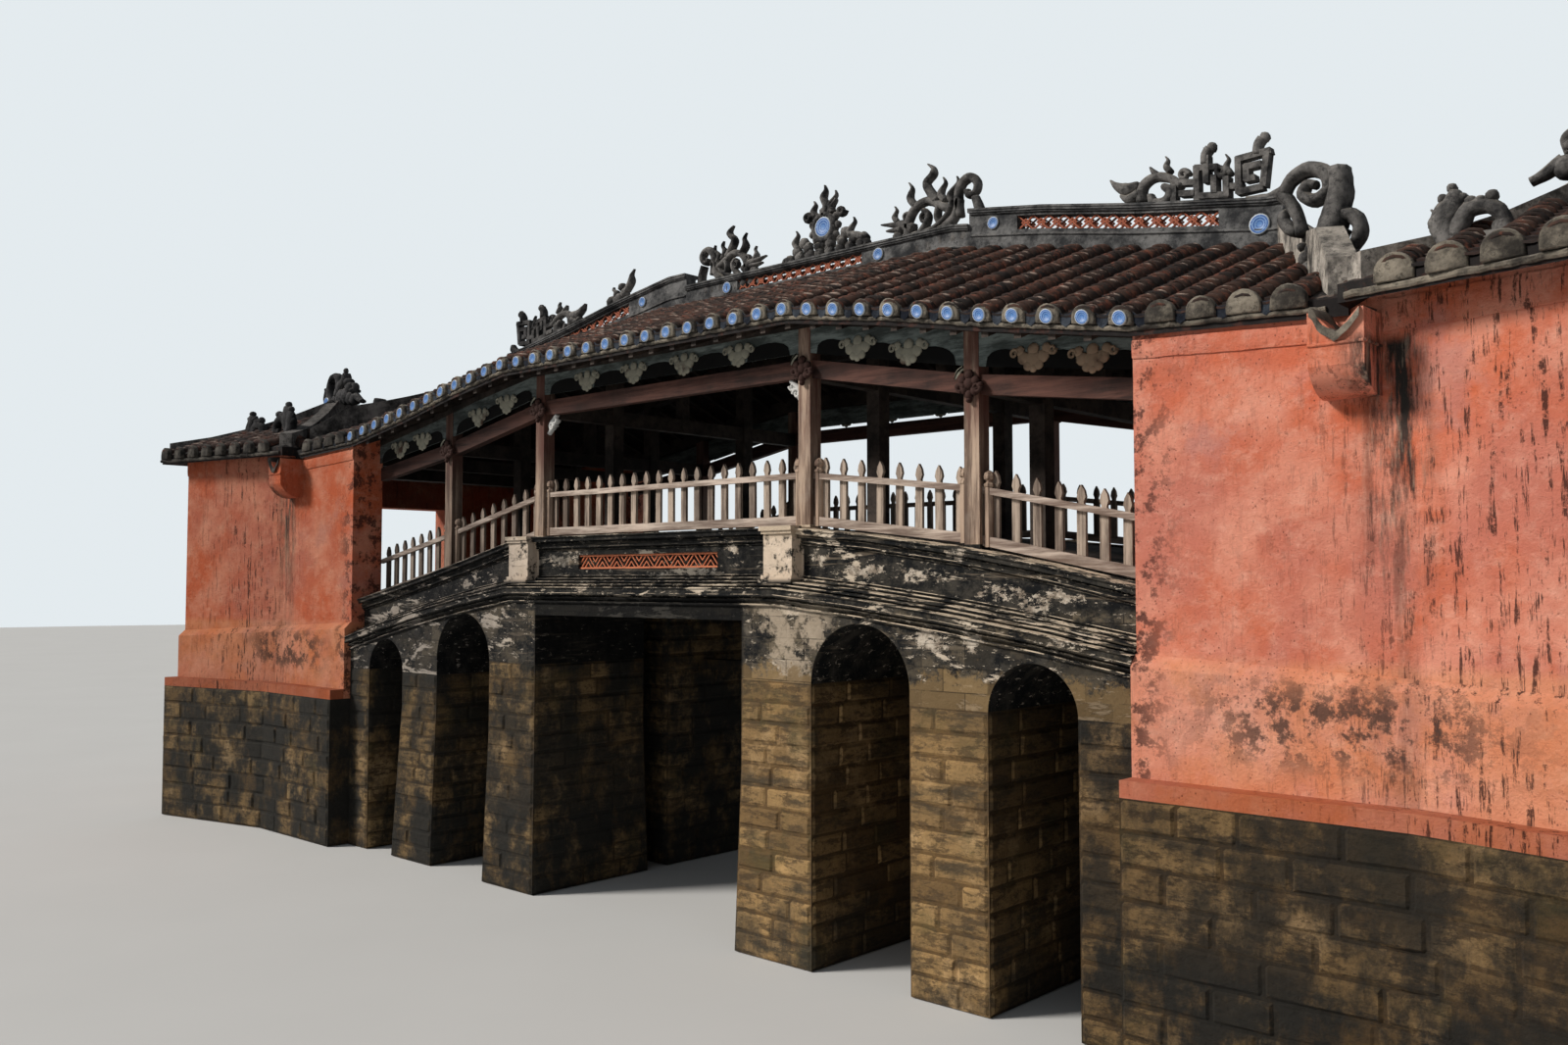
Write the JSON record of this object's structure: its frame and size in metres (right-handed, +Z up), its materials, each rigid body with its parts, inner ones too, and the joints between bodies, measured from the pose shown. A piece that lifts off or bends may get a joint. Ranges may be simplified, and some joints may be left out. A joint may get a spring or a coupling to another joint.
{
  "type": "covered bridge",
  "caption": "Covered footbridge with a tiled roof over timber posts and railings, on stone piers and arches, with a limewashed gate house at each end.",
  "frame": {"origin": "level of the foot of the piers, midway between the gates and midway between the two long faces", "axes": "+X along the bridge toward the right-hand gate, +Y toward the back, +Z up"},
  "size_m": [20.9214, 7.2404, 8.53],
  "materials": {
    "pier_stone": "rough-faced ochre sandstone blocks with raised joints",
    "arcade_stone": "rendered masonry blackened by mildew, with cream peeled patches",
    "terracotta": "unglazed orange terracotta",
    "dark_timber": "old dark timber",
    "weathered_timber": "weathered grey-tan timber, red-brown where worn",
    "painted_timber": "faded grey-green paint on carved boards",
    "roof_tile": "brown terracotta roof tiles with grey lichen",
    "limewash": "salmon-red limewashed render with streaks",
    "paving": "worn paving on masonry",
    "mortar": "dark grey weathered lime mortar"
  },
  "bodies": {
    "root": {"main_piers": "pier_stone", "small_piers": "pier_stone", "middle_piers": "pier_stone", "middle_tie_beam": "arcade_stone", "right_arches": "arcade_stone", "left_arches": "arcade_stone", "lintels": "arcade_stone", "right_abutment": "arcade_stone", "left_abutment": "arcade_stone", "parapets": "arcade_stone", "parapet_lattices": "terracotta", "center_girders": "dark_timber", "side_girders": "dark_timber", "center_deck": "dark_timber", "side_decks": "dark_timber", "outer_posts": "weathered_timber", "inner_posts": "dark_timber", "eave_beams": "weathered_timber", "tie_beams": "dark_timber", "king_posts": "dark_timber", "wall_plates": "dark_timber", "inner_purlins": "dark_timber", "ridge_purlin": "dark_timber", "friezes": "painted_timber", "front_railings": "weathered_timber", "back_railings": "weathered_timber", "front_pickets": "weathered_timber", "back_pickets": "weathered_timber", "front_roof_slope": "roof_tile", "back_roof_slope": "roof_tile", "hip_slopes": "roof_tile", "right_side_walls": "limewash", "left_side_walls": "limewash", "right_gate_wall": "limewash", "left_gate_wall": "limewash", "right_ramp": "paving", "left_ramp": "paving", "valley_beams": "dark_timber", "right_gate_roof": "roof_tile", "left_gate_roof": "roof_tile", "wall_curbs": "limewash", "rain_spouts": "limewash", "center_ridge": "mortar", "side_ridges": "mortar", "hip_ridges": "mortar", "gate_ridges": "mortar", "ridge_sun": "mortar", "ridge_dragons": "mortar", "ridge_frets": "mortar", "hip_scrolls": "mortar", "gate_scrolls": "mortar"}
  },
  "joints": []
}
